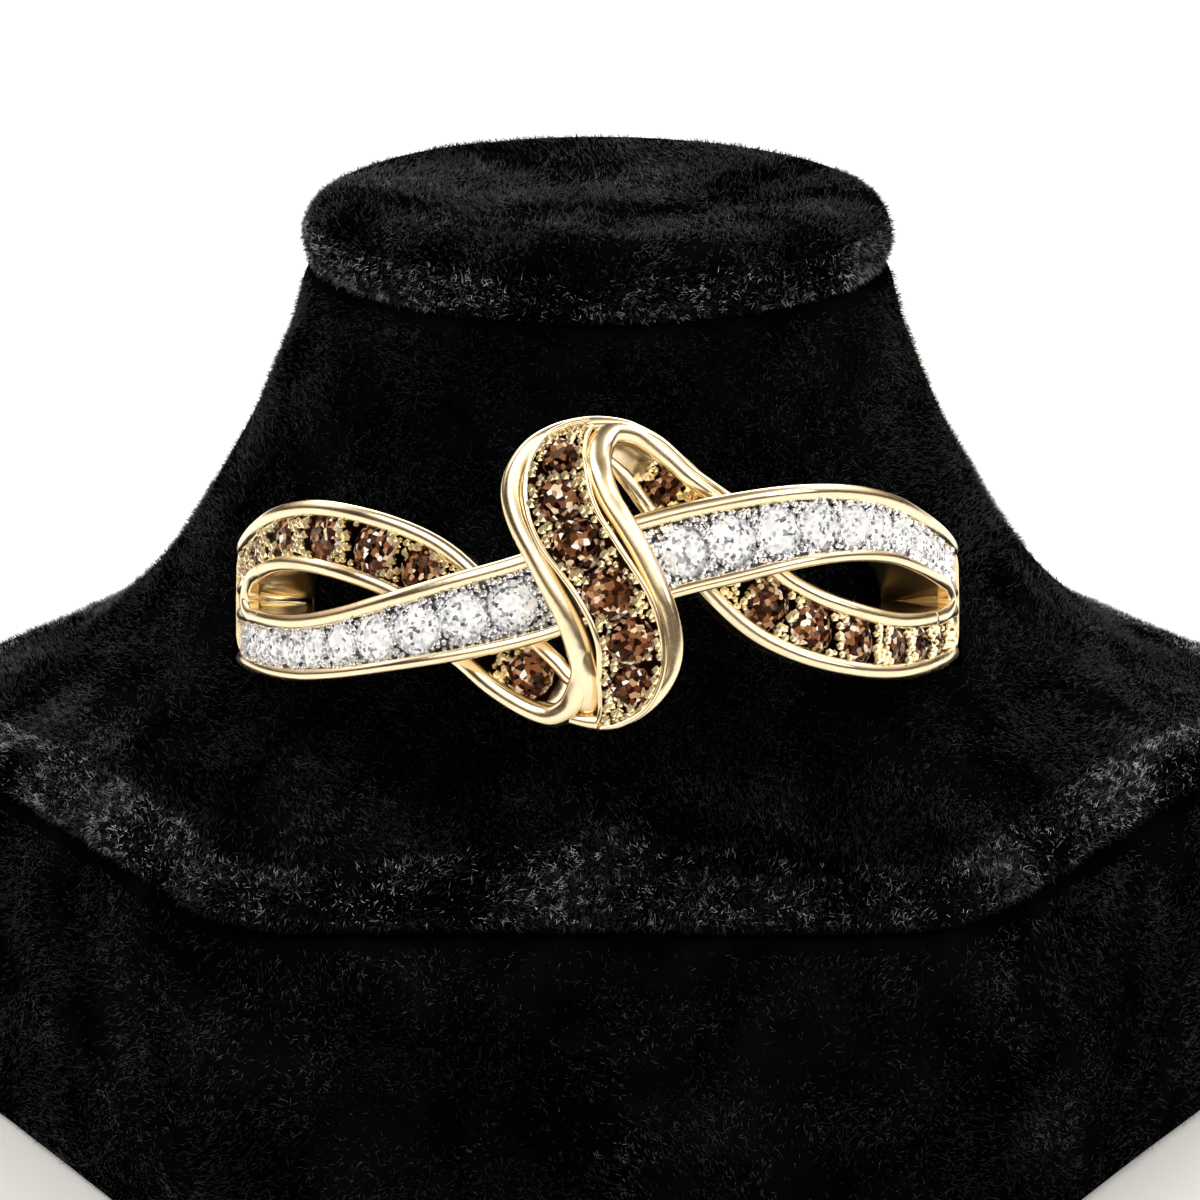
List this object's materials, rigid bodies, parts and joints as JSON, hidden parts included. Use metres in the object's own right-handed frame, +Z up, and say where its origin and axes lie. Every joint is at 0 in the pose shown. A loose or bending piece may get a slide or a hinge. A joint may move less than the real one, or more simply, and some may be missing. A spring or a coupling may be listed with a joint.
{
  "type": "statement ring on a velvet display stand",
  "caption": "Bypass knot ring in yellow gold with channels of white and brown round stones, held in the slit of a black velvet stand with a six-sided base.",
  "frame": {"origin": "centre of the stand's underside, on the surface that it stands on", "axes": "+Z up, -Y towards the front of the ring and stand, +X to the right seen from the front"},
  "size_m": [0.0436, 0.0371, 0.028],
  "materials": {
    "yellow_gold": "polished 14 carat yellow gold, pale",
    "white_diamond": "polished facets, colourless",
    "brown_diamond": "polished facets, brown",
    "black_velvet": "short black pile"
  },
  "bodies": {
    "root": {"ring_body": "yellow_gold", "stand_base": "black_velvet", "stand_bell": "black_velvet", "stand_cap": "black_velvet", "white_stone_01": "white_diamond", "white_stone_02": "white_diamond", "white_stone_03": "white_diamond", "white_stone_04": "white_diamond", "white_stone_05": "white_diamond", "white_stone_06": "white_diamond", "white_stone_07": "white_diamond", "white_stone_08": "white_diamond", "white_stone_09": "white_diamond", "white_stone_10": "white_diamond", "white_stone_11": "white_diamond", "white_stone_12": "white_diamond", "white_stone_13": "white_diamond", "white_stone_14": "white_diamond", "white_stone_15": "white_diamond", "white_stone_16": "white_diamond", "white_stone_17": "white_diamond", "white_stone_18": "white_diamond", "white_stone_19": "white_diamond", "white_stone_20": "white_diamond", "brown_stone_01": "brown_diamond", "brown_stone_02": "brown_diamond", "brown_stone_03": "brown_diamond", "brown_stone_04": "brown_diamond", "brown_stone_05": "brown_diamond", "brown_stone_06": "brown_diamond", "brown_stone_07": "brown_diamond", "brown_stone_08": "brown_diamond", "brown_stone_09": "brown_diamond", "brown_stone_10": "brown_diamond", "brown_stone_11": "brown_diamond", "brown_stone_12": "brown_diamond", "brown_stone_13": "brown_diamond", "brown_stone_14": "brown_diamond", "brown_stone_15": "brown_diamond", "brown_stone_16": "brown_diamond", "brown_stone_17": "brown_diamond", "brown_stone_18": "brown_diamond", "brown_stone_19": "brown_diamond", "brown_stone_20": "brown_diamond"}
  },
  "joints": []
}
